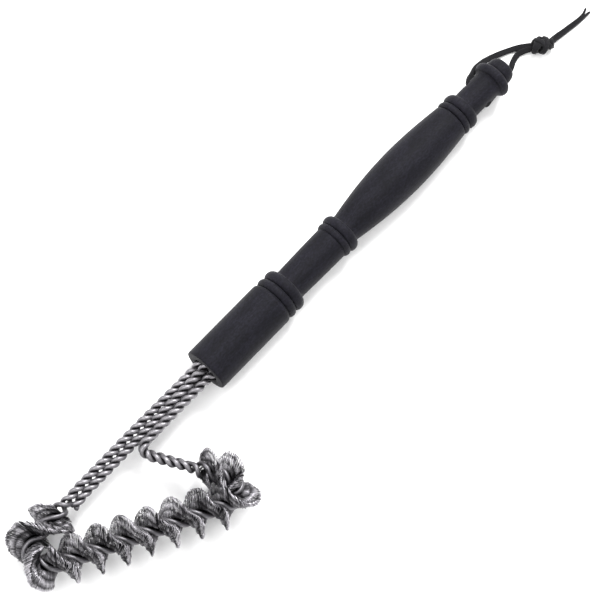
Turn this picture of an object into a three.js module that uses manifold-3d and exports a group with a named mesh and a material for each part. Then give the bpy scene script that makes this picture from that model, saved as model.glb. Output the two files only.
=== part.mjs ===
// Bristle-free grill cleaning brush: a turned handle, a head bent from twisted steel wire that grips a
// flattened spring, and a leather lace to hang it by. Millimetres, +Z up, the brush lying on z = 0.
import * as THREE from "three";
import Module from "manifold-3d";
import { mergeVertices } from "three/addons/utils/BufferGeometryUtils.js";

// Where the handle's own frame sits: s runs along the handle from its lower end face towards the knob,
// p runs sideways towards the scrubbing bar, z is height above the handle axis.
const HANDLE_START_X = -47.46;
const HANDLE_AXIS_Y = 26.06;
const HANDLE_AXIS_Z = 13.4;

// Handle, radii and stations along the axis
const HANDLE_LENGTH = 237.5;
const GRIP_RADIUS = 12.95;
const GRIP_LENGTH = 49.4;
const GROOVE_AFTER_GRIP = [52.2, 11.2]; // stations of the outline are given as station, radius
const SHAFT_FOOT = [65.8, 9.28];
const SHAFT_TOP = [96.8, 9.85];
const SPINDLE_POINTS = [
  [109, 8.7],
  [118, 10.15],
  [130, 11.7],
  [143, 12.7],
  [157, 13.02],
  [171, 12.5],
  [183, 11.5],
  [192.6, 10.5],
];
const NECK_RADIUS = 8;
const NECK_FOOT = 206;
const NECK_TOP = 221;
const KNOB_RADIUS = 7.85;
const KNOB_FOOT = 232.2;
const KNOB_ROUNDING = 2.4;
// Turned beads: where each crown and each foot on its knob side lie, as station, radius
const GRIP_BEADS = [
  { crown: [54.6, 12.98], foot: [57.3, 10.8] },
  { crown: [60.3, 12.98], foot: [63.8, 9.9] },
];
const COLLAR_BEADS = [
  { crown: [99.5, 10.98], foot: [101.5, 9.6] },
  { crown: [104.2, 11.5], foot: [107.3, 9.3] },
];
const SHOULDER_BEADS = [
  { crown: [195.5, 10.9], foot: [197.9, 9] },
  { crown: [200.6, 10.95], foot: [204.1, 8.7] },
];
const NECK_RING = { crown: [227, 11], foot: [229.9, 8.6] };
const ROUNDNESS = 0.552; // share of a quarter arc's reach at which its Bezier handles stand
const HANDLE_SIDES = 18;
const OUTLINE_STEPS = 3; // points along each arc of the outline
const BORE_DIAMETER = 15;
const BORE_DEPTH = 41;
const CROSS_HOLE_DIAMETER = 5.6;
const CROSS_HOLE_S = 214.5;
const HOLE_SIDES = 14;

// Wire ropes
const WIRE_RADIUS = 1.13;
const ROPE_OFFSET = 1.29; // from the rope's centreline to each wire's
const ROPE_PITCH = 10.3;
const ROPE_DEPTH_IN_BORE = 30;
const RESIN_GAP = 1.2; // from the cut ends of the wires, whose faces slant with the twist
const STEPS_PER_TURN = 7;
const CORE_STEP_IN_COIL = 2.6;
const WIRE_SIDES = 5;

// Head outline in s, p: the corners where the straight lengths would meet, and their bends
const TOE_CORNER = [-161.5, -2.7];
const TOE_BEND_RADIUS = 8.75;
const HEEL_CORNER = [-22.1, 66.1];
const HEEL_BEND_RADIUS = 7;
const ELBOW_CORNER = [-56.2, 3.8];
const ELBOW_BEND_RADIUS = 4.6;

// Scrubbing coil: a ribbon that turns about the core
const COIL_REACH = 13.4; // from the core's centreline to the ribbon's edge
const COIL_HALF_THICKNESS = 3; // where the ribbon bulges, half way out
const COIL_PINCHED = 1.75; // half thickness where the core wires grip it
const COIL_START_BEFORE_TOE = 18.5; // before the toe bend begins
const COIL_END_PAST_HEEL = 12.6; // after the heel bend ends
const CORE_WIRE_OFFSET = 3.3; // from the core's centreline to each wire's, either side of the ribbon
const CORE_SPREAD_LENGTH = 9; // length over which the rope opens up round the ribbon
// Lengths past the toe bend's start at which the ribbon lies flat, one half turn apart
const FLAT_AT = [-13.8, 2.5, 20.5, 34.7, 48.7, 62.2, 75.8, 89.4, 103, 116.6, 127.4, 138, 148.5];
// The standing blades of the bar are pushed along it, above and below the core
const UPPER_LEAN = 2.2;
const LOWER_LEAN = -3.2;
const LEAN_FROM = 4; // distance from the core within which nothing leans
const BAR_SPAN = [20, 34, 112, 124]; // where the lean begins, is full, is still full and ends
const COIL_STEP_ANGLE = Math.PI / 8;
const INNER_LIMIT = 0.85; // how near the bend's own centre the ribbon may reach

// Hanging lace
const LACE_RADIUS = 1;
const LACE_SIDES = 8;
const LACE_REST = -HANDLE_AXIS_Z + LACE_RADIUS + 0.2; // height of the lace's middle where it lies
const KNOT_CENTRE = [266, 6.8, -8.65];
const KNOT_HALF_SIZE = [6.2, 4.6, 4.2];

const wasm = await Module();
wasm.setup();

const blackWood = new THREE.MeshStandardMaterial({ color: 0x1c1c1f, roughness: 0.6, metalness: 0 });
const steel = new THREE.MeshStandardMaterial({ color: 0x9a9da4, roughness: 0.32, metalness: 1 });
const springSteel = new THREE.MeshStandardMaterial({ color: 0x8c8d90, roughness: 0.4, metalness: 1 });
const leather = new THREE.MeshStandardMaterial({ color: 0x18181a, roughness: 0.85, metalness: 0 });
const resin = new THREE.MeshStandardMaterial({ color: 0xb59a55, roughness: 0.4, metalness: 0 });

// s, p, z of the brush's own frame to the shared frame
function place(s, p, z) {
  return new THREE.Vector3(HANDLE_START_X + s, HANDLE_AXIS_Y - p, HANDLE_AXIS_Z + z);
}

function toSolid(geometry) {
  const bare = geometry.clone();
  bare.deleteAttribute("normal");
  bare.deleteAttribute("uv");
  const merged = mergeVertices(bare, 1e-4);
  const mesh = new wasm.Mesh({
    numProp: 3,
    vertProperties: new Float32Array(merged.attributes.position.array),
    triVerts: new Uint32Array(merged.index.array),
  });
  return new wasm.Manifold(mesh);
}

function toGeometry(solid) {
  const mesh = solid.getMesh();
  const geometry = new THREE.BufferGeometry();
  geometry.setAttribute("position", new THREE.BufferAttribute(new Float32Array(mesh.vertProperties), 3));
  geometry.setIndex(new THREE.BufferAttribute(new Uint32Array(mesh.triVerts), 1));
  geometry.computeVertexNormals();
  return geometry;
}

function named(name, geometry, material) {
  const mesh = new THREE.Mesh(geometry, material);
  mesh.name = name;
  return mesh;
}

// One turned bead from where the pencil stands: up to the crown and down to its foot
function bead(path, { crown, foot }) {
  const [crownS, crownR] = crown;
  const [footS, footR] = foot;
  const from = path.currentPoint.clone();
  const rise = from.x + ROUNDNESS * (crownR - from.x);
  const fall = footR + ROUNDNESS * (crownR - footR);
  path.bezierCurveTo(rise, from.y, crownR, crownS - ROUNDNESS * (crownS - from.y), crownR, crownS);
  path.bezierCurveTo(crownR, crownS + ROUNDNESS * (footS - crownS), fall, footS, footR, footS);
}

// A bend of the outline by way of one station and radius to another
function bend(path, [viaS, viaR], [toS, toR]) {
  path.quadraticCurveTo(viaR, viaS, toR, toS);
}

// Outline of the turned handle as radius (x) over station (y), from the lower end face to the knob
function handleOutline() {
  const path = new THREE.Path();
  path.moveTo(0, 0);
  path.lineTo(GRIP_RADIUS - 0.7, 0);
  bend(path, [0, GRIP_RADIUS], [1.1, GRIP_RADIUS]);
  path.lineTo(GRIP_RADIUS, GRIP_LENGTH);
  bend(path, [GRIP_LENGTH + 2.1, GRIP_RADIUS], GROOVE_AFTER_GRIP);
  GRIP_BEADS.forEach((b) => bead(path, b));
  bend(path, [SHAFT_FOOT[0] - 1.7, SHAFT_FOOT[1]], SHAFT_FOOT);
  bend(path, [80, SHAFT_TOP[1] - 0.13], SHAFT_TOP);
  bend(path, [SHAFT_TOP[0] + 0.5, SHAFT_TOP[1]], [SHAFT_TOP[0] + 0.7, SHAFT_TOP[1] - 0.45]);
  COLLAR_BEADS.forEach((b) => bead(path, b));
  bend(path, [107.6, SPINDLE_POINTS[0][1]], SPINDLE_POINTS[0]);
  path.splineThru(SPINDLE_POINTS.slice(1).map(([s, r]) => new THREE.Vector2(r, s)));
  bend(path, [193.4, 10.3], [193.7, 9.2]);
  SHOULDER_BEADS.forEach((b) => bead(path, b));
  bend(path, [NECK_FOOT - 1.6, NECK_RADIUS], [NECK_FOOT, NECK_RADIUS]);
  path.lineTo(NECK_RADIUS, NECK_TOP);
  bend(path, [NECK_TOP + 1.9, NECK_RADIUS], [NECK_TOP + 2.8, 9.2]);
  bend(path, [NECK_TOP + 3, 9.3], [NECK_TOP + 3.2, 8.7]);
  bead(path, NECK_RING);
  bend(path, [NECK_RING.foot[0], KNOB_RADIUS - 0.2], [KNOB_FOOT - 1.6, KNOB_RADIUS - 0.35]);
  bend(path, [KNOB_FOOT - 1, KNOB_RADIUS], [KNOB_FOOT, KNOB_RADIUS]);
  bend(path, [HANDLE_LENGTH, KNOB_RADIUS], [HANDLE_LENGTH, KNOB_RADIUS - KNOB_ROUNDING]);
  path.lineTo(0, HANDLE_LENGTH);
  return path.getPoints(OUTLINE_STEPS);
}

// Turns a lathe made about +Y into one about the handle axis
function ontoHandleAxis(geometry) {
  geometry.rotateZ(-Math.PI / 2);
  const origin = place(0, 0, 0);
  geometry.translate(origin.x, origin.y, origin.z);
  return geometry;
}

function makeHandle() {
  const turned = ontoHandleAxis(new THREE.LatheGeometry(handleOutline(), HANDLE_SIDES));
  const bore = new THREE.CylinderGeometry(BORE_DIAMETER / 2, BORE_DIAMETER / 2, BORE_DEPTH + 1, HOLE_SIDES);
  bore.translate(0, (BORE_DEPTH - 1) / 2, 0);
  const crossHole = new THREE.CylinderGeometry(CROSS_HOLE_DIAMETER / 2, CROSS_HOLE_DIAMETER / 2, 30, HOLE_SIDES);
  const at = place(CROSS_HOLE_S, 0, 0);
  crossHole.translate(at.x, at.y, at.z);
  const cut = toSolid(turned).subtract(toSolid(ontoHandleAxis(bore))).subtract(toSolid(crossHole));
  return named("handle", toGeometry(cut), blackWood);
}

function makeResin() {
  const length = BORE_DEPTH - ROPE_DEPTH_IN_BORE - RESIN_GAP - 0.3;
  const radius = BORE_DIAMETER / 2 - 0.3;
  const plug = new THREE.CylinderGeometry(radius, radius, length, HOLE_SIDES);
  plug.translate(0, ROPE_DEPTH_IN_BORE + RESIN_GAP + length / 2, 0);
  return named("bore_resin", ontoHandleAxis(plug), resin);
}

// A guide is a dense row of points { at, s }, s the length along it. Corners given as
// [s, p, z, bend radius] are rounded by arcs in the plane of the head.
function guideThrough(corners, spacing) {
  const points = [];
  corners.forEach(([cs, cp, cz, radius], i) => {
    const here = new THREE.Vector3(cs, cp, cz);
    if (!radius) {
      points.push(here);
      return;
    }
    const before = new THREE.Vector3(...corners[i - 1].slice(0, 3)).sub(here);
    const after = new THREE.Vector3(...corners[i + 1].slice(0, 3)).sub(here);
    const half = before.angleTo(after) / 2;
    const tangentLength = radius / Math.tan(half);
    before.normalize();
    after.normalize();
    const centre = before.clone().add(after).normalize().multiplyScalar(radius / Math.sin(half)).add(here);
    const from = before.clone().multiplyScalar(tangentLength).add(here).sub(centre);
    const to = after.clone().multiplyScalar(tangentLength).add(here).sub(centre);
    const sweep = from.angleTo(to);
    const count = Math.ceil((sweep * radius) / spacing);
    for (let k = 0; k <= count; k++) {
      const t = k / count;
      const a = Math.sin((1 - t) * sweep) / Math.sin(sweep);
      const b = Math.sin(t * sweep) / Math.sin(sweep);
      const arm = from.clone().multiplyScalar(a).add(to.clone().multiplyScalar(b));
      points.push(centre.clone().add(arm));
    }
  });
  return points.map((v) => place(v.x, v.y, v.z));
}

// A polyline read by length, with a side direction that stays in the head's plane
class Guide {
  constructor(points) {
    this.points = points;
    this.lengths = [0];
    for (let i = 1; i < points.length; i++) {
      this.lengths.push(this.lengths[i - 1] + points[i].distanceTo(points[i - 1]));
    }
    this.total = this.lengths[points.length - 1];
  }

  at(length) {
    const wanted = THREE.MathUtils.clamp(length, 0, this.total);
    let i = 1;
    while (i < this.points.length - 1 && this.lengths[i] < wanted) i++;
    const t = (wanted - this.lengths[i - 1]) / (this.lengths[i] - this.lengths[i - 1]);
    return this.points[i - 1].clone().lerp(this.points[i], t);
  }

  frame(length) {
    const tangent = this.at(length + 0.8).sub(this.at(length - 0.8)).normalize();
    const side = new THREE.Vector3(0, 0, 1).cross(tangent).normalize();
    return { at: this.at(length), tangent, side, up: tangent.clone().cross(side) };
  }

  // Length along the guide of the point nearest to a given place
  lengthNear(target) {
    let best = 0;
    for (let l = 0; l <= this.total; l += 0.25) {
      if (this.at(l).distanceTo(target) < this.at(best).distanceTo(target)) best = l;
    }
    return best;
  }
}

// The core's guide: down the stem, round the toe, up the bar, round the heel and back by the strut
const coreCorners = [
  [ROPE_DEPTH_IN_BORE, -4.4, -1.7],
  [-2, -4.4, -1.7],
  [-46, -4.8, -0.3],
  [-92, -4.4, 0],
  [-107, -2.7, 0],
  [...TOE_CORNER, 0, TOE_BEND_RADIUS],
  [...HEEL_CORNER, 0, HEEL_BEND_RADIUS],
  [-37.4, 37, 0.1],
  [-45.4, 24.7, 2.4],
  [ELBOW_CORNER[0] - 0.9, ELBOW_CORNER[1] + 0.3, 3.6, ELBOW_BEND_RADIUS],
  [-42, 3.8, 3.7],
  [-2, 3.8, 2.4],
  [ROPE_DEPTH_IN_BORE, 3.8, 2.4],
];
const stemBraceCorners = [
  [ROPE_DEPTH_IN_BORE, -1.2, 2.3],
  [-2, -1.2, 2.3],
  [-46, 0.2, 0.2],
  [-90, 0.55, -0.1],
  [-99, 1.4, -1.6],
];
const strutBraceCorners = [
  [ROPE_DEPTH_IN_BORE, 1.5, -2.6],
  [-2, 1.5, -2.6],
  [-42, 3.8, -3.5],
  [ELBOW_CORNER[0] + 1.3, ELBOW_CORNER[1], -3.5, ELBOW_BEND_RADIUS - 1],
  [-43.8, 24, -2.8],
  [-40.7, 29.8, -3.3],
];

const coreGuide = new Guide(guideThrough(coreCorners, 1));
const tangentOfToe = TOE_BEND_RADIUS / Math.tan(0.5 * Math.atan2(68.8, 139.4));
const toeStart = coreGuide.lengthNear(place(TOE_CORNER[0] + tangentOfToe, TOE_CORNER[1], 0));
const heelEnd = coreGuide.lengthNear(place(-33.2, 46.3, 0));
const coilStart = toeStart - COIL_START_BEFORE_TOE;
const coilEnd = heelEnd + COIL_END_PAST_HEEL;

// Angle the ribbon has turned by at a length along the core: half a turn from flat to flat
function bladeAngle(length) {
  const past = length - toeStart;
  let i = 1;
  while (i < FLAT_AT.length - 1 && FLAT_AT[i] < past) i++;
  return Math.PI * (i - 1 + (past - FLAT_AT[i - 1]) / (FLAT_AT[i] - FLAT_AT[i - 1]));
}

// How far into the coil's length a place on the core is, from 0 (plain rope) to 1 (ribbon gripped)
function gripAt(length) {
  const inToe = THREE.MathUtils.smoothstep(length, coilStart - CORE_SPREAD_LENGTH, coilStart);
  const outHeel = THREE.MathUtils.smoothstep(length, coilEnd, coilEnd + CORE_SPREAD_LENGTH);
  return inToe * (1 - outHeel);
}

// Twist of the two core wires: tight in the ropes, following the ribbon between them
function coreTwist(length) {
  if (length < coilStart) return bladeAngle(coilStart) - (2 * Math.PI * (coilStart - length)) / ROPE_PITCH;
  if (length > coilEnd) return bladeAngle(coilEnd) + (2 * Math.PI * (length - coilEnd)) / ROPE_PITCH;
  return bladeAngle(length);
}

// Sideways curvature of the core, positive where it bends towards its side direction
function curvatureAt(length) {
  const a = coreGuide.frame(length - 2).tangent;
  const b = coreGuide.frame(length + 2).tangent;
  return Math.asin(THREE.MathUtils.clamp(a.clone().cross(b).z, -1, 1)) / 4;
}

// A place beside the core, drawn in where it would pass the centre of a bend
function besideCore(length, sideways, upwards, ahead = 0) {
  const { at, tangent, side, up } = coreGuide.frame(length);
  const curve = curvatureAt(length);
  const inward = sideways * Math.sign(curve) > 0 ? Math.abs(curve * sideways) / INNER_LIMIT : 0;
  const drawn = sideways / Math.pow(1 + inward ** 4, 0.25);
  return at.addScaledVector(side, drawn).addScaledVector(up, upwards).addScaledVector(tangent, ahead);
}

// How far along the bar a part of a standing blade has been pushed
function pushedOver(length, sideways, upwards) {
  const { smoothstep } = THREE.MathUtils;
  const [begins, full, stillFull, ends] = BAR_SPAN;
  const past = length - toeStart;
  const onBar = smoothstep(past, begins, full) * (1 - smoothstep(past, stillFull, ends));
  const standing = smoothstep(Math.atan2(Math.abs(upwards), sideways), 0.7, 1.2);
  const reach = Math.max(Math.abs(upwards) - LEAN_FROM, 0) / (COIL_REACH - LEAN_FROM);
  return onBar * standing * reach * (upwards > 0 ? UPPER_LEAN : LOWER_LEAN);
}

function tube(points, radius, sides) {
  const path = new THREE.CatmullRomCurve3(points);
  path.arcLengthDivisions = 12 * points.length;
  const ring = new THREE.Shape();
  for (let i = 0; i < sides; i++) {
    const a = (2 * Math.PI * i) / sides;
    if (i === 0) ring.moveTo(radius, 0);
    else ring.lineTo(radius * Math.cos(a), radius * Math.sin(a));
  }
  ring.closePath();
  return new THREE.ExtrudeGeometry(ring, { steps: points.length - 1, bevelEnabled: false, extrudePath: path });
}

function makeCoreWire(name, phase) {
  const points = [];
  let length = 0;
  while (length < coreGuide.total) {
    const offset = THREE.MathUtils.lerp(ROPE_OFFSET, CORE_WIRE_OFFSET, gripAt(length));
    const angle = coreTwist(length) + phase;
    points.push(besideCore(length, offset * Math.cos(angle), offset * Math.sin(angle)));
    const inCoil = length > coilStart - CORE_SPREAD_LENGTH && length < coilEnd;
    length += inCoil ? CORE_STEP_IN_COIL : ROPE_PITCH / STEPS_PER_TURN;
  }
  return named(name, tube(points, WIRE_RADIUS, WIRE_SIDES), steel);
}

function makeRopeWire(name, corners, phase) {
  const guide = new Guide(guideThrough(corners, 1));
  const count = Math.round((guide.total / ROPE_PITCH) * STEPS_PER_TURN);
  const points = [];
  for (let i = 0; i <= count; i++) {
    const length = (i / count) * guide.total;
    const { at, side, up } = guide.frame(length);
    const angle = (2 * Math.PI * length) / ROPE_PITCH + phase;
    at.addScaledVector(side, ROPE_OFFSET * Math.cos(angle));
    points.push(at.addScaledVector(up, ROPE_OFFSET * Math.sin(angle)));
  }
  return named(name, tube(points, WIRE_RADIUS, WIRE_SIDES), steel);
}

// Outline of the pressed spring across the core: it bulges either side of the pinched middle
function ribbonSection() {
  const quarter = [
    [0.89, 0.65 * COIL_HALF_THICKNESS],
    [0.6, COIL_HALF_THICKNESS],
    [0.35, 0.93 * COIL_HALF_THICKNESS],
    [0.15, COIL_PINCHED],
  ].map(([share, thick]) => [share * COIL_REACH, thick]);
  const half = [[COIL_REACH, 0], ...quarter, ...quarter.map(([u, v]) => [-u, v]).reverse()];
  return [...half, ...half.map(([u, v]) => [-u, -v])];
}

function makeCoil() {
  const section = ribbonSection();
  const n = section.length;
  const rings = [];
  let length = coilStart;
  while (length < coilEnd) {
    rings.push(length);
    const rate = bladeAngle(length + 0.5) - bladeAngle(length - 0.5);
    length += COIL_STEP_ANGLE / rate;
  }
  rings.push(coilEnd);
  const positions = [];
  rings.forEach((l) => {
    const c = Math.cos(bladeAngle(l));
    const d = Math.sin(bladeAngle(l));
    section.forEach(([u, v]) => {
      const sideways = u * c - v * d;
      const upwards = u * d + v * c;
      positions.push(...besideCore(l, sideways, upwards, pushedOver(l, sideways, upwards)).toArray());
    });
  });
  const last = (rings.length - 1) * n;
  const faces = [];
  for (let r = 0; r < rings.length - 1; r++) {
    for (let k = 0; k < n; k++) {
      const a = r * n + k;
      const b = r * n + ((k + 1) % n);
      faces.push(a, b, b + n, a, b + n, a + n);
    }
  }
  const cap = THREE.ShapeUtils.triangulateShape(section.map(([u, v]) => new THREE.Vector2(u, v)), []);
  cap.forEach(([a, b, c]) => faces.push(a, c, b, last + a, last + b, last + c));
  const geometry = new THREE.BufferGeometry();
  geometry.setAttribute("position", new THREE.Float32BufferAttribute(positions, 3));
  geometry.setIndex(faces);
  geometry.computeVertexNormals();
  return named("scrub_coil", geometry, springSteel);
}

// Lace: each side starts inside the cross hole, leaves by its own mouth and runs to the knot
function laceTube(name, corners, count) {
  const path = new THREE.CatmullRomCurve3(corners.map((c) => place(...c)));
  return named(name, tube(path.getSpacedPoints(count), LACE_RADIUS, LACE_SIDES), leather);
}

function makeKnot() {
  const knot = new THREE.SphereGeometry(1, 10, 7);
  knot.scale(...KNOT_HALF_SIZE);
  const centre = place(...KNOT_CENTRE);
  knot.translate(centre.x, centre.y, centre.z);
  return named("lace_knot", knot, leather);
}

const group = new THREE.Group();
group.name = "grill_cleaning_brush";
group.add(makeHandle());
group.add(makeResin());
group.add(makeCoreWire("core_wire_1", Math.PI / 2));
group.add(makeCoreWire("core_wire_2", -Math.PI / 2));
group.add(makeRopeWire("stem_brace_wire_1", stemBraceCorners, 0));
group.add(makeRopeWire("stem_brace_wire_2", stemBraceCorners, Math.PI));
group.add(makeRopeWire("strut_brace_wire_1", strutBraceCorners, 0));
group.add(makeRopeWire("strut_brace_wire_2", strutBraceCorners, Math.PI));
group.add(makeCoil());
group.add(
  laceTube(
    "lace_left",
    [
      [214.5, -1, 0],
      [214.9, -7.4, -0.3],
      [216.6, -9.9, -1],
      [221.4, -10.6, -3],
      [227, -11.6, -6],
      [233, -10.6, -8.8],
      [239.5, -9, -11],
      [248.8, -5.6, LACE_REST],
      [256, -2, LACE_REST + 0.1],
      [260.6, 1.7, -10.9],
    ],
    22,
  ),
);
group.add(
  laceTube(
    "lace_right",
    [
      [214.5, 1.2, 0],
      [214.8, 6.6, -0.8],
      [215.8, 9.3, -2.6],
      [218, 9.3, -6],
      [221.8, 7.6, -9.9],
      [227, 6.5, -12.1],
      [232, 5.8, LACE_REST],
      [237, 5, LACE_REST],
      [244.2, 3.1, LACE_REST],
      [248.6, 1.2, LACE_REST],
      [253.6, 1.2, LACE_REST + 0.1],
      [259.2, 4.9, -10.6],
    ],
    22,
  ),
);
group.add(makeKnot());
group.add(
  laceTube(
    "lace_tail_1",
    [
      [273.2, 7.9, -10.9],
      [276.5, 8.2, LACE_REST],
      [283.2, 9, LACE_REST],
      [292.2, 10.2, LACE_REST],
      [297, 10.4, LACE_REST],
      [300.8, 9.3, LACE_REST],
    ],
    12,
  ),
);
group.add(
  laceTube(
    "lace_tail_2",
    [
      [272.8, 10.3, -10.9],
      [276.5, 10.5, LACE_REST],
      [283.2, 11.2, LACE_REST],
      [292.2, 12.4, LACE_REST],
      [297, 12.6, LACE_REST],
      [301, 13, LACE_REST],
    ],
    12,
  ),
);

export default group;
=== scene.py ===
"""Grill cleaning brush: a turned black wooden handle with a leather lace, and a head bent from twisted
steel wire that grips a flattened spring. Lengths are in millimetres until a mesh is made."""
import math

import bpy
import numpy as np
from mathutils import Matrix, Vector


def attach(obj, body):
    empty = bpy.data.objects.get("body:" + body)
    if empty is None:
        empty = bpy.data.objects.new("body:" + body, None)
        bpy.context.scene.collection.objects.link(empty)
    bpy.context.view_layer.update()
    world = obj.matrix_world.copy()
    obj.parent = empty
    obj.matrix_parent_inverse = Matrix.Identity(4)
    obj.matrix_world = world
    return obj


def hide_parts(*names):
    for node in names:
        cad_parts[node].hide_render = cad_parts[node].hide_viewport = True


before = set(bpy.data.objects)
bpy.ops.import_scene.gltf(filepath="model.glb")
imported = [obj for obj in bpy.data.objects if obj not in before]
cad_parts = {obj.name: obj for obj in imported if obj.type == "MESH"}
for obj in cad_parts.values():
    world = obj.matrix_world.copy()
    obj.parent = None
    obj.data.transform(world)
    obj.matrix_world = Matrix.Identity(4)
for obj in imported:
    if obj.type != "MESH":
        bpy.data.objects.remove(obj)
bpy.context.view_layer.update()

MM = 0.001
random = np.random.default_rng(38)

# The brush's own frame: s along the handle from its lower end face, p sideways towards the scrubbing
# bar, z above the handle axis
HANDLE_START_X = -47.46
HANDLE_AXIS_Y = 26.06
HANDLE_AXIS_Z = 13.4


def place(points):
    """Rows of s, p, z in the shared frame."""
    s, p, z = np.asarray(points, float).T
    return np.stack([HANDLE_START_X + s, HANDLE_AXIS_Y - p, HANDLE_AXIS_Z + z], axis=-1)


# ---------------------------------------------------------------- camera
CAMERA_TARGET = (62.8, 9.5, 0)
CAMERA_DISTANCE = 1232.6
CAMERA_TILT = math.radians(14)
CAMERA_LENS = 139.8
# How far the handle's direction goes to the right in the picture, and how far upwards
HANDLE_RIGHTWARDS = 0.70
HANDLE_UPWARDS = 0.714


def make_camera():
    """Looks down on the flat of the brush, a little tilted, with the handle towards the upper right."""
    target = Vector(place([CAMERA_TARGET])[0]) * MM
    along = Vector((math.cos(CAMERA_TILT), 0, math.sin(CAMERA_TILT)))
    across = Vector((0, -1, 0))
    right = (HANDLE_RIGHTWARDS * along + HANDLE_UPWARDS * across).normalized()
    up = (HANDLE_UPWARDS * along - HANDLE_RIGHTWARDS * across).normalized()
    back = right.cross(up)
    data = bpy.data.cameras.new("camera")
    data.sensor_width = 36
    data.lens = CAMERA_LENS
    camera = bpy.data.objects.new("camera", data)
    bpy.context.collection.objects.link(camera)
    turned = Matrix((right, up, back)).transposed().to_4x4()
    camera.matrix_world = Matrix.Translation(target + CAMERA_DISTANCE * MM * back) @ turned
    bpy.context.scene.camera = camera


make_camera()


# ---------------------------------------------------------------- materials
class Nodes:
    """A short way to write a material's nodes."""

    def __init__(self, name):
        self.material = bpy.data.materials.new(name)
        self.material.use_nodes = True
        self.tree = self.material.node_tree
        self.shader = self.tree.nodes["Principled BSDF"]
        self.where = self.add("ShaderNodeTexCoord").outputs["Object"]

    def add(self, kind, **settings):
        node = self.tree.nodes.new(kind)
        for key, value in settings.items():
            setattr(node, key, value)
        return node

    def link(self, source, target):
        self.tree.links.new(source, target)

    def stretched(self, scale, turn=(0, 0, 0)):
        node = self.add("ShaderNodeMapping")
        node.inputs["Scale"].default_value = scale
        node.inputs["Rotation"].default_value = turn
        self.link(self.where, node.inputs["Vector"])
        return node.outputs[0]

    def noise(self, vector, scale, detail=4.0, rough=0.55):
        node = self.add("ShaderNodeTexNoise")
        node.inputs["Scale"].default_value = scale
        node.inputs["Detail"].default_value = detail
        node.inputs["Roughness"].default_value = rough
        self.link(vector, node.inputs["Vector"])
        return node.outputs["Fac"]

    def ramp(self, value, stops):
        node = self.add("ShaderNodeValToRGB")
        elements = node.color_ramp.elements
        while len(elements) < len(stops):
            elements.new(0.5)
        for element, (position, colour) in zip(elements, stops):
            element.position = position
            element.color = (*colour, 1) if len(colour) == 3 else colour
        self.link(value, node.inputs["Fac"])
        return node.outputs["Color"]

    def range(self, value, low, high, from_low=0.3, from_high=0.7):
        node = self.add("ShaderNodeMapRange")
        node.inputs["From Min"].default_value = from_low
        node.inputs["From Max"].default_value = from_high
        node.inputs["To Min"].default_value = low
        node.inputs["To Max"].default_value = high
        self.link(value, node.inputs["Value"])
        return node.outputs["Result"]

    def mix(self, kind, a, b, amount=1.0):
        node = self.add("ShaderNodeMix", data_type="RGBA", blend_type=kind)
        self.link(a, node.inputs[6])
        self.link(b, node.inputs[7])
        if hasattr(amount, "is_linked"):
            self.link(amount, node.inputs[0])
        else:
            node.inputs[0].default_value = amount
        return node.outputs[2]

    def bump(self, height, distance, strength=1.0, after=None):
        node = self.add("ShaderNodeBump")
        node.inputs["Strength"].default_value = strength
        node.inputs["Distance"].default_value = distance
        self.link(height, node.inputs["Height"])
        if after is not None:
            self.link(after, node.inputs["Normal"])
        return node.outputs["Normal"]

    def finish(self, colour, roughness, normal, **levels):
        self.link(colour, self.shader.inputs["Base Color"])
        self.link(roughness, self.shader.inputs["Roughness"])
        self.link(normal, self.shader.inputs["Normal"])
        for key, value in levels.items():
            self.shader.inputs[key.replace("_", " ")].default_value = value
        return self.material


def grey(level, blue=1.06):
    return (level, level * 0.99, level * blue)


def black_wood():
    """Matt black stain over turned wood, with faint grain along the handle and a dusty speckle."""
    n = Nodes("black_stained_wood")
    grain = n.noise(n.stretched((45, 900, 900)), 1.0, 6, 0.6)
    pores = n.noise(n.stretched((110, 2600, 2600)), 1.0, 3, 0.5)
    cloud = n.noise(n.stretched((60, 150, 150)), 1.0, 5, 0.65)
    speck = n.noise(n.stretched((700, 1500, 1500)), 1.0, 2, 0.6)
    fibres = n.ramp(
        grain,
        [(0.25, (0.0034, 0.0032, 0.0056)), (0.5, (0.0055, 0.0053, 0.0086)), (0.78, (0.0105, 0.0103, 0.014))],
    )
    worn = n.ramp(cloud, [(0.3, grey(0.55, 1.02)), (0.7, grey(1.3, 1.0))])
    dusted = n.ramp(speck, [(0.35, grey(0.6, 1.0)), (0.65, grey(1.5, 1.0))])
    colour = n.mix("MULTIPLY", n.mix("MULTIPLY", fibres, worn), dusted)
    roughness = n.range(grain, 0.6, 0.78)
    relief = n.bump(pores, 0.00012, 0.35, n.bump(speck, 0.0001, 0.5, n.bump(grain, 0.0003, 0.35)))
    return n.finish(
        colour, roughness, relief, Specular_IOR_Level=0.13, Sheen_Weight=0.07, Sheen_Roughness=0.35
    )


def drawn_steel(name, painted_shade_level, lit_level, rough):
    """Steel wire, painted dark with painted shade where its mesh value is 0 and bare, lit steel where it is
    1.
    """
    n = Nodes(name)
    painted_light_and_wear = n.add("ShaderNodeAttribute", attribute_name="painted_light_and_wear").outputs["Fac"]
    stain = n.noise(n.where, 300, 4, 0.6)
    speck = n.noise(n.where, 2600, 3, 0.6)
    between = grey(0.45 * painted_shade_level + 0.4 * lit_level, 1.03)
    # The mesh value paints light and shade into the colour: painted shade at its low end, lit bare steel at
    # its high end.
    tone = n.ramp(painted_light_and_wear, [(0.0, grey(painted_shade_level, 1.03)), (0.45, between), (1.0, grey(lit_level, 1.02))])
    patches = n.ramp(stain, [(0.3, grey(0.7, 1.02)), (0.7, grey(1.0, 1.0))])
    grit = n.ramp(speck, [(0.35, grey(0.5, 1.0)), (0.6, grey(1.0, 1.0))])
    colour = n.mix("MULTIPLY", n.mix("MULTIPLY", tone, patches), grit)
    roughness = n.range(speck, rough - 0.06, rough + 0.12)
    relief = n.bump(speck, 0.00005, 0.5, n.bump(stain, 0.0002, 0.3))
    return n.finish(colour, roughness, relief, Metallic=1.0)


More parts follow.
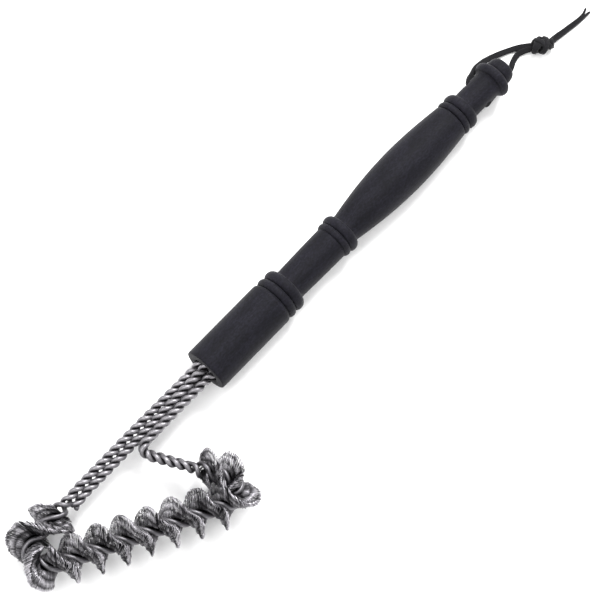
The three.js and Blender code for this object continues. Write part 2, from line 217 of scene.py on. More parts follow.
def black_suede():
    """Black leather with a short nap."""
    n = Nodes("black_suede")
    nap = n.noise(n.where, 1500, 5, 0.7)
    patches = n.noise(n.where, 220, 3, 0.5)
    fluff = n.ramp(
        nap, [(0.3, (0.005, 0.005, 0.006)), (0.55, (0.009, 0.009, 0.0105)), (0.8, (0.021, 0.021, 0.023))]
    )
    worn = n.ramp(patches, [(0.3, grey(0.75, 1.0)), (0.7, grey(1.0, 1.0))])
    colour = n.mix("MULTIPLY", fluff, worn)
    roughness = n.range(nap, 0.82, 0.98)
    relief = n.bump(nap, 0.0003, 0.8)
    return n.finish(
        colour, roughness, relief, Specular_IOR_Level=0.16, Sheen_Weight=0.07, Sheen_Roughness=0.5
    )


def cured_resin():
    """Amber resin, seen only inside the bore."""
    n = Nodes("cured_resin")
    haze = n.noise(n.where, 500, 4, 0.6)
    colour = n.ramp(haze, [(0.3, (0.32, 0.22, 0.07)), (0.7, (0.5, 0.38, 0.14))])
    roughness = n.range(haze, 0.3, 0.5)
    return n.finish(colour, roughness, n.bump(haze, 0.0003, 0.4))


WOOD = black_wood()
# Rope steel and spring steel: the first level is the painted shade, the second the lit bare steel.
ROPE_STEEL = drawn_steel("rope_steel", 0.13, 0.36, 0.4)
SPRING_STEEL = drawn_steel("spring_steel", 0.035, 0.76, 0.3)
SUEDE = black_suede()
RESIN = cured_resin()


# ---------------------------------------------------------------- meshes
def make_piece(name, vertices, faces, material, nodes, painted_light_and_wear=None):
    """A piece that rides the brush and replaces its CAD nodes. Vertices are in millimetres."""
    mesh = bpy.data.meshes.new(name)
    mesh.from_pydata((np.asarray(vertices) * MM).tolist(), [], faces)
    mesh.validate()
    mesh.polygons.foreach_set("use_smooth", [True] * len(mesh.polygons))
    if painted_light_and_wear is not None:
        mesh.attributes.new("painted_light_and_wear", "FLOAT", "POINT").data.foreach_set("value", np.asarray(painted_light_and_wear, float))
    mesh.materials.append(material)
    piece = bpy.data.objects.new(name, mesh)
    bpy.context.collection.objects.link(piece)
    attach(piece, "root")
    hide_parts(*nodes)
    return piece


def unit(vectors):
    return vectors / np.maximum(np.linalg.norm(vectors, axis=-1, keepdims=True), 1e-9)


def swept(points, reference, section):
    """Vertices and faces of a section carried along points. The section's first axis leans to reference."""
    points = np.asarray(points, float)
    tangent = unit(np.gradient(points, axis=0))
    reference = np.broadcast_to(reference, points.shape)
    first = unit(reference - tangent * np.sum(reference * tangent, axis=1, keepdims=True))
    second = np.cross(tangent, first)
    section = np.asarray(section, float)
    if section.ndim == 2:
        section = np.broadcast_to(section, (len(points), *section.shape))
    spread = section[..., :1] * first[:, None] + section[..., 1:] * second[:, None]
    vertices = points[:, None] + spread
    count, sides = section.shape[:2]
    ring = np.arange(sides)
    following = (ring + 1) % sides
    start = (np.arange(count - 1) * sides)[:, None]
    near, far = start + ring, start + following
    quads = np.stack([near, far, far + sides, near + sides], axis=-1)
    faces = quads.reshape(-1, 4).tolist()
    faces.append(ring[::-1].tolist())
    faces.append((ring + (count - 1) * sides).tolist())
    return vertices.reshape(-1, 3), faces


def circle(radius, sides):
    angle = np.arange(sides) * 2 * math.pi / sides
    return np.stack([radius * np.cos(angle), radius * np.sin(angle)], axis=-1)


def joined(parts):
    """Several lots of vertices and faces as one."""
    vertices, faces, start = [], [], 0
    for v, f in parts:
        vertices.append(v)
        faces += [[i + start for i in face] for face in f]
        start += len(v)
    return np.concatenate(vertices), faces


def smooth_line(points, step):
    """A Catmull-Rom line through the points, cut into equal steps."""
    points = np.asarray(points, float)
    padded = np.vstack([2 * points[0] - points[1], points, 2 * points[-1] - points[-2]])
    t = np.linspace(0, 1, 24, endpoint=False)[:, None]
    pieces = []
    for a, b, c, d in zip(padded, padded[1:], padded[2:], padded[3:]):
        v, w = (c - a) / 2, (d - b) / 2
        pieces.append((2 * b - 2 * c + v + w) * t**3 + (3 * c - 3 * b - 2 * v - w) * t**2 + v * t + b)
    dense = np.vstack([*pieces, points[-1:]])
    length = np.concatenate([[0], np.cumsum(np.linalg.norm(np.diff(dense, axis=0), axis=1))])
    wanted = np.linspace(0, length[-1], max(3, round(length[-1] / step) + 1))
    return np.stack([np.interp(wanted, length, dense[:, k]) for k in range(points.shape[1])], axis=-1)


# ---------------------------------------------------------------- lace
LACE_WIDTH = 3.3
LACE_THICKNESS = 1.7
KNOT_STRIP_WIDTH = 2.7
ON_TABLE = -HANDLE_AXIS_Z + 0.5 * LACE_THICKNESS + 0.1
KNOT_CENTRE = (266.0, 6.8, -HANDLE_AXIS_Z + 4.7)
ON_EDGE = ON_TABLE + 0.5
LEFT_LACE = [
    (214.6, -1.0, 0.0), (215.4, -6.9, -0.3), (218.0, -8.9, -1.4), (221.8, -9.6, -3.0), (227.0, -10.7, -5.4),
    (233.0, -10.4, -8.2), (239.5, -9.0, -10.8), (248.8, -5.6, ON_TABLE), (256.5, -1.7, ON_TABLE + 0.3),
    (262.0, 2.9, -10.6), (266.0, 6.6, -9.2), (270.6, 7.6, -10.2), (275.6, 8.1, ON_EDGE + 0.3),
    (283.2, 9.3, ON_EDGE), (292.2, 10.6, ON_EDGE), (297.0, 10.7, ON_EDGE), (300.8, 9.5, ON_EDGE),
]
RIGHT_LACE = [
    (214.6, 1.2, -0.4), (214.8, 5.0, -2.0), (215.8, 7.3, -4.8), (218.4, 7.3, -7.6), (222.2, 6.9, -10.4),
    (227.0, 6.5, ON_TABLE + 0.2), (232.0, 5.8, ON_TABLE), (237.0, 5.0, ON_TABLE), (244.2, 3.1, ON_TABLE),
    (248.6, 1.2, ON_TABLE), (253.6, 0.5, ON_TABLE + 0.1), (259.6, 2.9, -11.4), (265.4, 7.2, -10.0),
    (270.6, 9.2, -10.6), (275.6, 9.8, ON_EDGE + 0.3), (283.2, 10.8, ON_EDGE), (292.2, 11.9, ON_EDGE),
    (297.0, 12.1, ON_EDGE), (301.0, 12.5, ON_EDGE),
]

# Share of the way along a strand, and the angle that its flat face is turned to there
LEFT_FACE = ((0, 0.1), (0.12, 0.5), (0.25, 0.7), (0.4, 0.1), (0.55, 0.1), (0.65, 1.25), (1, 1.3))
RIGHT_FACE = ((0, 0.0), (0.13, 0.1), (0.22, 0.3), (0.4, 0.5), (0.55, 0.4), (0.65, 1.25), (1, 1.2))
# Share of the way along a strand, and its width as a share of the whole: less in the hole and at the tips
WIDTH_SHARE = ((0, 0.8), (0.08, 0.85), (0.16, 1.0), (0.6, 1.0), (0.7, 0.85), (0.95, 0.7), (1.0, 0.4))


def rounded_strip(width, thickness):
    """Outline of a cut leather strip, with softened corners and a slight crown."""
    a, b = width / 2, thickness / 2
    corner = 0.3 * thickness
    nip = 0.3 * corner
    crown = 1.04 * b
    quarter = [(a, b - corner), (a - nip, b - nip), (a - corner, b)]
    upper = [*quarter, (0, crown), *((-x, y) for x, y in reversed(quarter))]
    return upper + [(-x, -y) for x, y in upper]


def lace_strip(route, face, seed):
    """One side of the lace, as its middle line and its mesh. Its flat face is turned as face says."""
    line = smooth_line(place(route), 0.6)
    noise = np.random.default_rng(seed)
    along = np.linspace(0, 1, len(line))
    turn = np.interp(along, *zip(*face))
    tangent = unit(np.gradient(line, axis=0))
    sideways = unit(np.cross((0, 0, 1), tangent))
    upwards = np.cross(tangent, sideways)
    reference = sideways * np.cos(turn)[:, None] + upwards * np.sin(turn)[:, None]
    width = 1 + 0.05 * np.interp(along, np.linspace(0, 1, 40), noise.standard_normal(40))
    width *= np.interp(along, *zip(*WIDTH_SHARE))
    shares = np.stack([width, 0.5 + 0.5 * width], axis=-1)[:, None]
    section = np.asarray(rounded_strip(LACE_WIDTH, LACE_THICKNESS)) * shares
    return line, swept(line, reference, section)


KNOT_LOOPS = (  # middle, which way each loop of the knot faces, and its two radii
    ((-4.6, -0.6, -0.3), (1.0, 0.7, 0.2), 3.2, 2.9),
    ((-2.2, -0.2, 0.3), (1.0, -0.5, -0.35), 4.3, 3.5),
    ((0.2, 0.2, 0.0), (1.0, 0.6, -0.3), 4.3, 3.5),
    ((-2.2, 0.0, 0.6), (0.45, 1.0, 0.3), 3.9, 2.7),
    ((-0.6, -0.4, 1.0), (0.1, 0.6, 1.0), 2.4, 2.0),
    ((-0.6, -2.4, 0.2), (0.5, -0.3, 1.0), 2.3, 1.8),
    ((2.2, 0.3, 0.1), (0.9, -0.5, 0.3), 2.8, 2.7),
    ((5.0, 0.6, -0.9), (1.0, 0.3, 0.2), 2.0, 1.9),
)


def make_knot():
    """An overhand knot in both strands together, drawn tight into crossing loops."""
    lean = math.radians(24)
    onward = np.array([math.cos(lean), math.sin(lean), 0])
    across = np.array([-math.sin(lean), math.cos(lean), 0])
    axes = np.stack([onward, across, (0, 0, 1)])
    angle = np.linspace(0, 2 * math.pi, 49)[:, None]
    parts = []
    for middle, facing, wide, high in KNOT_LOOPS:
        facing = unit(np.array(facing))
        level = unit(np.cross((0, 0, 1), facing))
        upright = np.cross(facing, level)
        loop = np.array(middle) + wide * np.cos(angle) * level + high * np.sin(angle) * upright
        path = place(loop @ axes + np.array(KNOT_CENTRE))
        outwards = unit(path - path[:-1].mean(axis=0))
        lengthways = np.cross(np.gradient(path, axis=0), outwards)
        parts.append(swept(path, lengthways, rounded_strip(KNOT_STRIP_WIDTH, LACE_THICKNESS)))
    vertices, faces = joined(parts)
    return make_piece("lace_knot_wraps", vertices, faces, SUEDE, ("lace_knot",))


def make_lace():
    for name, route, face, nodes, seed in (
        ("lace_left_strand", LEFT_LACE, LEFT_FACE, ("lace_left", "lace_tail_1"), 1),
        ("lace_right_strand", RIGHT_LACE, RIGHT_FACE, ("lace_right", "lace_tail_2"), 2),
    ):
        line, (vertices, faces) = lace_strip(route, face, seed)
        piece = make_piece(name, vertices, faces, SUEDE, nodes)
    knot = make_knot()


make_lace()

# ---------------------------------------------------------------- handle
HANDLE_LENGTH = 237.5
GRIP_RADIUS = 12.95
BORE_RADIUS = 7.5
BORE_DEPTH = 41
CROSS_HOLE_RADIUS = 2.8
CROSS_HOLE_S = 214.5
NECK_RADIUS = 8.0
KNOB_RADIUS = 7.85
HANDLE_SIDES = 96
CROSS_HOLE_SIDES = 48
DRILL_REACH = 20  # to each side of the handle axis
SHARP_ANGLE = math.radians(38)
SPINDLE = [
    (109, 8.7), (118, 10.15), (130, 11.7), (143, 12.7), (157, 13.02), (171, 12.5), (183, 11.5), (192.6, 10.5),
]
ROUNDNESS = 0.552  # where a quarter circle's control points sit, as a share of its radius


class Outline:
    """A pen that draws the turned outline as rows of s, r."""

    def __init__(self, s, r):
        self.rows = [(s, r)]

    def line(self, s, r, steps=1):
        s0, r0 = self.rows[-1]
        for k in range(1, steps + 1):
            self.rows.append((s0 + (s - s0) * k / steps, r0 + (r - r0) * k / steps))

    def curve(self, *control, steps=9):
        start = self.rows[-1]
        points = [start, *control]
        for k in range(1, steps + 1):
            t = k / steps
            level = [np.array(q, float) for q in points]
            while len(level) > 1:
                level = [a + (b - a) * t for a, b in zip(level, level[1:])]
            self.rows.append(tuple(level[0]))

    def bead(self, crown_s, crown_r, end_s, end_r):
        """Two quarter ellipses, up to the crown and down again."""
        s, r = self.rows[-1]
        rising = (s, r + ROUNDNESS * (crown_r - r))
        before_crown = (crown_s - ROUNDNESS * (crown_s - s), crown_r)
        self.curve(rising, before_crown, (crown_s, crown_r))
        after_crown = (crown_s + ROUNDNESS * (end_s - crown_s), crown_r)
        falling = (end_s, end_r + ROUNDNESS * (crown_r - end_r))
        self.curve(after_crown, falling, (end_s, end_r))

    def through(self, points, step=1.6):
        for row in smooth_line([self.rows[-1], *points], step)[1:]:
            self.rows.append(tuple(row))


def handle_outline():
    """From the bottom of the bore out to the lower end face, and along the outside to the knob's end."""
    pen = Outline(BORE_DEPTH, 0)
    pen.line(BORE_DEPTH, BORE_RADIUS)
    pen.line(0.5, BORE_RADIUS, 6)
    pen.curve((0.1, BORE_RADIUS + 0.05), (0, BORE_RADIUS + 0.5), steps=3)
    pen.line(0, GRIP_RADIUS - 0.7, 2)
    pen.curve((0, GRIP_RADIUS), (1.1, GRIP_RADIUS), steps=5)
    pen.line(49.4, GRIP_RADIUS, 24)
    pen.curve((51.5, GRIP_RADIUS), (52.2, 11.2), steps=8)
    pen.bead(54.6, 12.98, 57.3, 10.8)
    pen.bead(60.3, 12.98, 63.8, 9.9)
    pen.curve((64.1, 9.3), (65.8, 9.28), steps=6)
    pen.curve((80, 9.72), (96.8, 9.85), steps=16)
    pen.curve((97.3, 9.8), (97.5, 9.4), steps=4)
    pen.bead(99.5, 10.98, 101.5, 9.6)
    pen.bead(104.2, 11.5, 107.3, 9.3)
    pen.curve((107.6, 8.75), (109, 8.75), steps=6)
    pen.through(SPINDLE)
    pen.curve((193.4, 10.3), (193.7, 9.2), steps=6)
    pen.bead(195.5, 10.9, 197.9, 9.0)
    pen.bead(200.6, 10.95, 204.1, 8.7)
    pen.curve((204.4, 8.05), (206, NECK_RADIUS), steps=6)
    pen.line(221.0, NECK_RADIUS + 0.05, 8)
    pen.curve((222.9, 8.1), (223.8, 9.2), steps=6)
    pen.curve((224, 9.3), (224.2, 8.7), steps=4)
    pen.bead(227.0, 11.0, 229.9, 8.6)
    pen.curve((229.9, 7.7), (230.6, 7.5), steps=4)
    pen.curve((231.2, KNOB_RADIUS), (232.2, KNOB_RADIUS), steps=5)
    shoulder = (234.6, KNOB_RADIUS + 0.05)
    pen.curve(shoulder, (HANDLE_LENGTH, KNOB_RADIUS - 0.9), (HANDLE_LENGTH, KNOB_RADIUS - 2.4), steps=8)
    pen.line(HANDLE_LENGTH, 0)
    return np.array(pen.rows)


def turned_solid(outline, sides):
    """Vertices and faces of an outline turned about the handle axis, from its first end to its last."""
    angle = np.arange(sides) * 2 * math.pi / sides
    inner = outline[1:-1]
    rings = np.stack(
        [
            np.repeat(inner[:, :1], sides, axis=1),
            inner[:, 1:] * np.cos(angle),
            inner[:, 1:] * np.sin(angle),
        ],
        axis=-1,
    ).reshape(-1, 3)
    vertices = np.vstack([rings, [[outline[0, 0], 0, 0], [outline[-1, 0], 0, 0]]])
    faces = []
    for r in range(len(inner) - 1):
        for k in range(sides):
            a, b = r * sides + k, r * sides + (k + 1) % sides
            faces.append((a, b, b + sides, a + sides))
    last = (len(inner) - 1) * sides
    for k in range(sides):
        following = (k + 1) % sides
        faces.append((len(rings), following, k))
        faces.append((len(rings) + 1, last + k, last + following))
    return place(vertices), faces


def make_handle():
    """The turned handle, with its cross hole drilled through the neck."""
    vertices, faces = turned_solid(handle_outline(), HANDLE_SIDES)
    handle = make_piece("turned_handle", vertices, faces, WOOD, ("handle",))
    axis = np.array([(CROSS_HOLE_S, p, 0) for p in np.linspace(-DRILL_REACH, DRILL_REACH, 5)])
    vertices, faces = swept(place(axis), (1, 0, 0), circle(CROSS_HOLE_RADIUS, CROSS_HOLE_SIDES))
    mesh = bpy.data.meshes.new("drill")
    mesh.from_pydata((vertices * MM).tolist(), [], faces)
    drill = bpy.data.objects.new("drill", mesh)
    bpy.context.collection.objects.link(drill)
    cut = handle.modifiers.new("cross_hole", "BOOLEAN")
    cut.operation = "DIFFERENCE"
    cut.solver = "EXACT"
    cut.object = drill
    shaped = bpy.data.meshes.new_from_object(handle.evaluated_get(bpy.context.evaluated_depsgraph_get()))
    handle.modifiers.clear()
    handle.data = shaped
    bpy.data.objects.remove(drill)
    shaped.polygons.foreach_set("use_smooth", [True] * len(shaped.polygons))
    shaped.set_sharp_from_angle(angle=SHARP_ANGLE)


make_handle()

# ---------------------------------------------------------------- wire guides
ROPE_WIRE_RADIUS = 1.33
ROPE_OFFSET = 1.33
WIRE_SIDES = 14
WIRE_STEP = 0.42
HEAD_PAINTED_SHADE = 0.5  # how much darker the core wires are painted where they hold the spring: painted shade from its turns
ROPE_PITCH = 10.3
ROPE_DEPTH_IN_BORE = 30
TOE_CORNER = (-161.5, -2.7)
TOE_BEND_RADIUS = 8.75
HEEL_CORNER = (-22.1, 66.1)
HEEL_BEND_RADIUS = 7
PAST_HEEL = (-33.2, 46.3)
ELBOW_CORNER = (-56.2, 3.8)
ELBOW_BEND_RADIUS = 4.6
COIL_REACH = 13.3
COIL_START_BEFORE_TOE = 18.5
COIL_END_PAST_HEEL = 12.6
CORE_WIRE_OFFSET = 3.4
CORE_SPREAD_LENGTH = 9
INNER_LIMIT = 0.85

CORE_CORNERS = [
    (ROPE_DEPTH_IN_BORE, -4.4, -1.7),
    (-2, -4.4, -1.7),
    (-46, -4.8, -0.3),
    (-92, -4.4, 0),
    (-107, -2.7, 0),
    (*TOE_CORNER, 0, TOE_BEND_RADIUS),
    (*HEEL_CORNER, 0, HEEL_BEND_RADIUS),
    (-37.4, 37.0, 0.1),
    (-45.4, 24.7, 2.4),
    (ELBOW_CORNER[0] - 0.9, ELBOW_CORNER[1] + 0.3, 3.6, ELBOW_BEND_RADIUS),
    (-42, 3.8, 3.7),
    (-2, 3.8, 2.4),
    (ROPE_DEPTH_IN_BORE, 3.8, 2.4),
]
STEM_BRACE_CORNERS = [
    (ROPE_DEPTH_IN_BORE, -1.2, 2.3),
    (-2, -1.2, 2.3),
    (-46, -0.1, 0.2),
    (-90, 0.2, -0.2),
    (-99, 1.2, -1.6),
]
STRUT_BRACE_CORNERS = [
    (ROPE_DEPTH_IN_BORE, 1.5, -2.6),
    (-2, 1.5, -2.6),
    (-42, 3.8, -3.5),
    (ELBOW_CORNER[0] + 1.3, ELBOW_CORNER[1], -3.5, ELBOW_BEND_RADIUS - 1),
    (-43.8, 24, -2.8),
    (-40.7, 29.8, -3.3),
]


def guide_points(corners, spacing=0.5):
    """Points from corner to corner; a corner with a bend radius is rounded by an arc."""
    points = []
    for i, corner in enumerate(corners):
        here = np.array(corner[:3], float)
        if len(corner) == 3:
            points.append(here)
            continue
        before = unit(np.array(corners[i - 1][:3], float) - here)
        after = unit(np.array(corners[i + 1][:3], float) - here)
        half = math.acos(float(before @ after)) / 2
        radius = corner[3]
        tangent = radius / math.tan(half)
        centre = here + unit(before + after) * radius / math.sin(half)
        start, end = here + before * tangent - centre, here + after * tangent - centre
        sweep = math.pi - 2 * half
        count = math.ceil(sweep * radius / spacing)
        for t in np.linspace(0, 1, count + 1):
            arm = (math.sin((1 - t) * sweep) * start + math.sin(t * sweep) * end) / math.sin(sweep)
            points.append(centre + arm)
    return place(points)


class Guide:
    """A line read by length, with a side direction that stays in the plane of the head."""

    def __init__(self, corners):
        self.points = guide_points(corners)
        steps = np.linalg.norm(np.diff(self.points, axis=0), axis=1)
        self.lengths = np.concatenate([[0], np.cumsum(steps)])
        self.total = self.lengths[-1]

    def at(self, length):
        return np.stack([np.interp(length, self.lengths, self.points[:, k]) for k in range(3)], axis=-1)

    def tangent(self, length, reach=0.8):
        return unit(self.at(length + reach) - self.at(length - reach))

    def frame(self, length):
        tangent = self.tangent(length)
        side = unit(np.cross((0, 0, 1), tangent))
        return self.at(length), tangent, side, np.cross(tangent, side)

    def length_near(self, point):
        dense = np.arange(0, self.total, 0.1)
        return dense[np.argmin(np.linalg.norm(self.at(dense) - place([point])[0], axis=1))]


core = Guide(CORE_CORNERS)
toe_turn = math.atan2(HEEL_CORNER[1] - TOE_CORNER[1], HEEL_CORNER[0] - TOE_CORNER[0])
TOE_START = core.length_near((TOE_CORNER[0] + TOE_BEND_RADIUS / math.tan(toe_turn / 2), TOE_CORNER[1], 0))
HEEL_END = core.length_near((*PAST_HEEL, 0))
COIL_START = TOE_START - COIL_START_BEFORE_TOE
COIL_END = HEEL_END + COIL_END_PAST_HEEL

# Places past the toe's start where the ribbon lies flat, one half turn apart
FLAT_AT = np.array([-13.8, 2.5, 20.5, 34.7, 48.7, 62.2, 75.8, 89.4, 103.0, 116.6, 127.4, 138.0, 148.5])
# How far the ribbon's edges run ahead on the inner side, as a share of their distance from the core, and
# the distances from the core where that begins and where it is full
LEAN_AT = [(-13.8, -0.25), (-4, -0.2), (6, 0), (20, 0.13), (116, 0.13), (127, 0), (138, -0.2), (148, -0.38)]
LEAN_DISTANCES = (2, 9)


def blade_angle(length):
    """Angle the ribbon has turned by: a whole number of half turns wherever it lies flat."""
    past = np.asarray(length, float) - TOE_START
    turns = np.interp(past, FLAT_AT, np.arange(len(FLAT_AT)))
    before = (past - FLAT_AT[0]) / (FLAT_AT[1] - FLAT_AT[0])
    after = len(FLAT_AT) - 1 + (past - FLAT_AT[-1]) / (FLAT_AT[-1] - FLAT_AT[-2])
    turns = np.where(past < FLAT_AT[0], before, turns)
    turns = np.where(past > FLAT_AT[-1], after, turns)
    return math.pi * turns


def smoothstep(value, low, high):
    t = np.clip((value - low) / (high - low), 0, 1)
    return t * t * (3 - 2 * t)


def grip(length):
    """How far the core wires have opened round the spring, from 0 in the ropes to 1 in the head."""
    opening = smoothstep(length, COIL_START - CORE_SPREAD_LENGTH, COIL_START)
    return opening * (1 - smoothstep(length, COIL_END, COIL_END + CORE_SPREAD_LENGTH))


def core_twist(length):
    """Twist of the two core wires: tight in the ropes, following the ribbon between them."""
    before = blade_angle(COIL_START) - 2 * math.pi * (COIL_START - length) / ROPE_PITCH
    after = blade_angle(COIL_END) + 2 * math.pi * (length - COIL_END) / ROPE_PITCH
    twist = np.where(length < COIL_START, before, blade_angle(length))
    return np.where(length > COIL_END, after, twist)


def beside_core(length, sideways, upwards, ahead=0.0):
    """Places beside the core, drawn in where they would pass the centre of a bend."""
    at, tangent, side, up = core.frame(length)
    reach = 2
    turn = np.cross(core.tangent(length - reach), core.tangent(length + reach))[..., 2]
    curve = np.arcsin(np.clip(turn, -1, 1)) / (2 * reach)
    inward = np.where(sideways * curve > 0, np.abs(sideways * curve) / INNER_LIMIT, 0)
    drawn = sideways / (1 + inward**4) ** 0.25
    lean = np.interp(length - TOE_START, *zip(*LEAN_AT))
    along = ahead + lean * drawn * smoothstep(np.abs(drawn), *LEAN_DISTANCES)
    return at + side * drawn[..., None] + up * upwards[..., None] + tangent * along[..., None]


# ---------------------------------------------------------------- ropes
def make_wire(name, points, outwards, node, lit_level=1.0):
    """One wire of a rope; the side that faces the rope's middle is painted darker, as painted shade in the
    crevice between the wires.
    """
    section = circle(ROPE_WIRE_RADIUS, WIRE_SIDES)
    vertices, faces = swept(points, outwards, section)
    facing = section[:, 0] / ROPE_WIRE_RADIUS
    # Painted shade: darker on the side facing the other wire, lighter on the outer side.
    painted_light_and_wear = np.outer(np.broadcast_to(lit_level, len(points)), smoothstep(facing, -0.6, 0.6)).ravel()
    make_piece(name, vertices, faces, ROPE_STEEL, (node,), painted_light_and_wear)


def make_core_wire(name, phase):
    length = np.arange(0, core.total, WIRE_STEP)
    offset = ROPE_OFFSET + (CORE_WIRE_OFFSET - ROPE_OFFSET) * grip(length)
    angle = core_twist(length) + phase
    points = beside_core(length, offset * np.cos(angle), offset * np.sin(angle))
    # Painted shade: the core wires are painted darker inside the spring, where its turns shade them.
    make_wire(name + "_drawn", points, points - core.at(length), name, 1 - HEAD_PAINTED_SHADE * grip(length))


def make_rope_wire(name, corners, phase):
    guide = Guide(corners)
    length = np.arange(0, guide.total, WIRE_STEP)
    at, tangent, side, up = guide.frame(length)
    angle = 2 * math.pi * length / ROPE_PITCH + phase
    outwards = side * np.cos(angle)[:, None] + up * np.sin(angle)[:, None]
    make_wire(name + "_drawn", at + ROPE_OFFSET * outwards, outwards, name)


make_core_wire("core_wire_1", math.pi / 2)
make_core_wire("core_wire_2", -math.pi / 2)
make_rope_wire("stem_brace_wire_1", STEM_BRACE_CORNERS, 0)
make_rope_wire("stem_brace_wire_2", STEM_BRACE_CORNERS, math.pi)
make_rope_wire("strut_brace_wire_1", STRUT_BRACE_CORNERS, 0)
make_rope_wire("strut_brace_wire_2", STRUT_BRACE_CORNERS, math.pi)

# ---------------------------------------------------------------- scrubbing spring
SPRING_WIRE_RADIUS = 0.18
SPRING_WIRE_SIDES = 4
SPRING_STEP = 0.34  # along the core, from one turn of the spring to the next
SPRING_HALF_THICKNESS = 4.0
PINCHED_SHARE = 0.42  # of that thickness, where the core wires grip the turns
PINCH_ENDS = (0.08, 0.45)  # shares of the reach where the pinch begins to ease and where it is over
TURN_POINTS = 36
TURN_SLANT = 0.22  # how far a turn slants along the core where it stands up
# How far along the core a turn has been pushed over at full height, on the side away from the stem and on
# the side towards it
OUTER_LEAN = 4.4
INNER_LEAN = 1.2
OUTER_SIDE_ENDS = (-4, 3)  # sideways places where the outer side begins to give way to the inner one, and has
# The sides of a turn are waved, so that the ribbon shows bands at equal distances from the core
WAVE_LENGTH = 4.4
WAVE_SHARE = 0.26
# How much the turns differ: from one to the next, and slowly along the spring
REACH_VARIES = (0.15, 0.6)
THICKNESS_VARIES = (0.06, 0.15)
SKEW_VARIES = (0.06, 0.08)
BLADE_VARIES = (0.025, 0)
AHEAD_VARIES = (0.015, 0.06)
WEAR_VARIES = (0.6, 0.7)
SLOW_TURNS = 13  # the turns that the slow part is averaged over
TAPERED_TURNS = 20  # the turns at each end that are smaller
END_TURN_SHARE = 0.6  # of the full reach, in the very last turns
# Painted shade in the troughs of the waves: the share of the painted light that is left there
TROUGH_PAINTED_LIGHT = 0.06
CORE_SHADOW_DISTANCES = (0.5, 9)  # distances from the core where the painted shadow of the core wires begins to lift and where it is gone
BEND_CROWDING = 5
BAR_SPAN = (20, 34, 112, 124)  # where the lean begins, is full, is still full and ends


def crowded_turns():
    """Places along the core and the number of turns up to each, closer together round the bends."""
    step = 0.1
    places = np.arange(COIL_START, COIL_END, step)
    bend = np.linalg.norm(core.tangent(places + 1) - core.tangent(places - 1), axis=-1)
    return places, np.cumsum(step * (1 + BEND_CROWDING * bend) / SPRING_STEP)


def pushed_over(length, sideways, upwards):
    """How far along the bar a part of a standing turn has been pushed."""
    past = length - TOE_START
    begins, full, still_full, ends = BAR_SPAN
    on_bar = smoothstep(past, begins, full) * (1 - smoothstep(past, still_full, ends))
    outer = 1 - smoothstep(sideways, *OUTER_SIDE_ENDS)
    return on_bar * upwards / COIL_REACH * (INNER_LEAN + (OUTER_LEAN - INNER_LEAN) * outer)


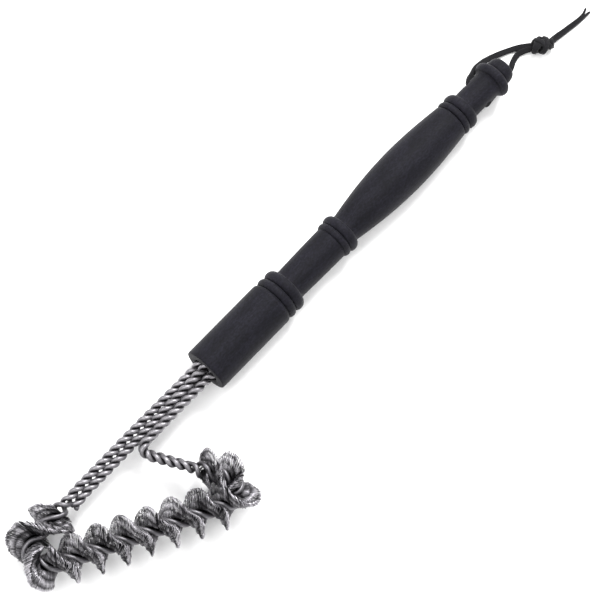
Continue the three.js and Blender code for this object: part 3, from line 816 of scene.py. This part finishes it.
def make_spring():
    """One wire wound in long flat turns, which stand across the core and turn with the ribbon."""
    places, turns_there = crowded_turns()
    turns = int(turns_there[-1])
    phase = np.arange(turns * TURN_POINTS + 1) / TURN_POINTS
    whole = np.arange(turns + 2)
    wobble = random.standard_normal((6, turns + 2))
    window = np.ones(SLOW_TURNS) / SLOW_TURNS
    slow = np.stack([np.convolve(np.pad(w, SLOW_TURNS // 2, "wrap"), window, "valid") for w in wobble])

    def varied(row, quick, slowly):
        return np.interp(phase, whole, quick * wobble[row] + slowly * slow[row])

    length = np.interp(phase, turns_there, places)
    ends = np.clip(np.minimum(phase, turns - phase) / TAPERED_TURNS, 0, 1)
    full_reach = COIL_REACH - SPRING_WIRE_RADIUS + varied(0, *REACH_VARIES)
    reach = full_reach * (END_TURN_SHARE + (1 - END_TURN_SHARE) * ends)
    angle = 2 * math.pi * phase
    u, v = np.cos(angle), np.sin(angle)
    wave = 1 + WAVE_SHARE * np.cos(2 * math.pi * (1 - np.abs(u)) * COIL_REACH / WAVE_LENGTH)
    pinch = PINCHED_SHARE + (1 - PINCHED_SHARE) * smoothstep(np.abs(u), *PINCH_ENDS)
    thickness = SPRING_HALF_THICKNESS * pinch * wave * (1 + varied(1, *THICKNESS_VARIES))
    skew = varied(2, *SKEW_VARIES)
    blade = blade_angle(length) + varied(3, *BLADE_VARIES) + skew * u * v
    across, through = u * reach, v * thickness
    sideways = across * np.cos(blade) - through * np.sin(blade)
    upwards = across * np.sin(blade) + through * np.cos(blade)
    slant = TURN_SLANT * through * np.sin(blade)
    ahead = pushed_over(length, sideways, upwards) - slant + across * varied(4, *AHEAD_VARIES)
    points = beside_core(length, sideways, upwards, ahead)
    section = circle(SPRING_WIRE_RADIUS, SPRING_WIRE_SIDES)
    vertices, faces = swept(points, core.tangent(length), section)
    # Painted light: the crests of the waves are painted lighter (painted highlight) and the troughs darker
    # (painted shade), the turns are painted darker close to the core (painted shadow of the core wires), and
    # the whole varies at random from turn to turn.
    crest = smoothstep(wave, 1 - WAVE_SHARE, 1 + 0.6 * WAVE_SHARE)
    shade = TROUGH_PAINTED_LIGHT + (1 - TROUGH_PAINTED_LIGHT) * crest
    shade *= smoothstep(np.abs(across), *CORE_SHADOW_DISTANCES)
    painted_light_and_wear = np.clip(shade * (1 + varied(5, *WEAR_VARIES)), 0, 1)
    painted_light_and_wear = np.repeat(painted_light_and_wear, len(section))
    make_piece("scrub_spring", vertices, faces, SPRING_STEEL, ("scrub_coil",), painted_light_and_wear)


make_spring()

# ---------------------------------------------------------------- resin in the bore
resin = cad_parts["bore_resin"]
resin.data.materials.clear()
resin.data.materials.append(RESIN)


# ---------------------------------------------------------------- studio
def make_floor():
    half = 3.0
    corners = [(-half, -half, 0), (half, -half, 0), (half, half, 0), (-half, half, 0)]
    mesh = bpy.data.meshes.new("floor")
    mesh.from_pydata(corners, [], [(0, 1, 2, 3)])
    n = Nodes("pale_floor")
    cloud = n.noise(n.where, 3, 2, 0.5)
    colour = n.ramp(cloud, [(0.3, (0.97, 0.97, 0.97)), (0.7, (0.98, 0.98, 0.98))])
    n.finish(colour, n.range(cloud, 0.85, 0.9), n.bump(cloud, 0.0001, 0.05), Specular_IOR_Level=0.1)
    mesh.materials.append(n.material)
    floor = bpy.data.objects.new("floor", mesh)
    bpy.context.collection.objects.link(floor)
    floor.location.z = -0.0002


def area_light(name, location, size, power, target=(0, 0, 0)):
    data = bpy.data.lights.new(name, "AREA")
    data.shape = "RECTANGLE"
    data.size, data.size_y = size
    data.energy = power
    light = bpy.data.objects.new(name, data)
    light.location = location
    light.rotation_euler = (Vector(target) - Vector(location)).to_track_quat("-Z", "Y").to_euler()
    bpy.context.collection.objects.link(light)


def make_studio():
    world = bpy.data.worlds.new("studio")
    bpy.context.scene.world = world
    world.use_nodes = True
    world.node_tree.nodes["Background"].inputs["Color"].default_value = (1, 1, 1, 1)
    world.node_tree.nodes["Background"].inputs["Strength"].default_value = 1.15
    area_light("key", (0.85, 0.45, 1.1), (0.5, 0.5), 26)
    area_light("fill", (-0.7, 0.6, 1.3), (1.0, 1.0), 10)
    bpy.context.scene.view_settings.view_transform = "Standard"


make_floor()
make_studio()
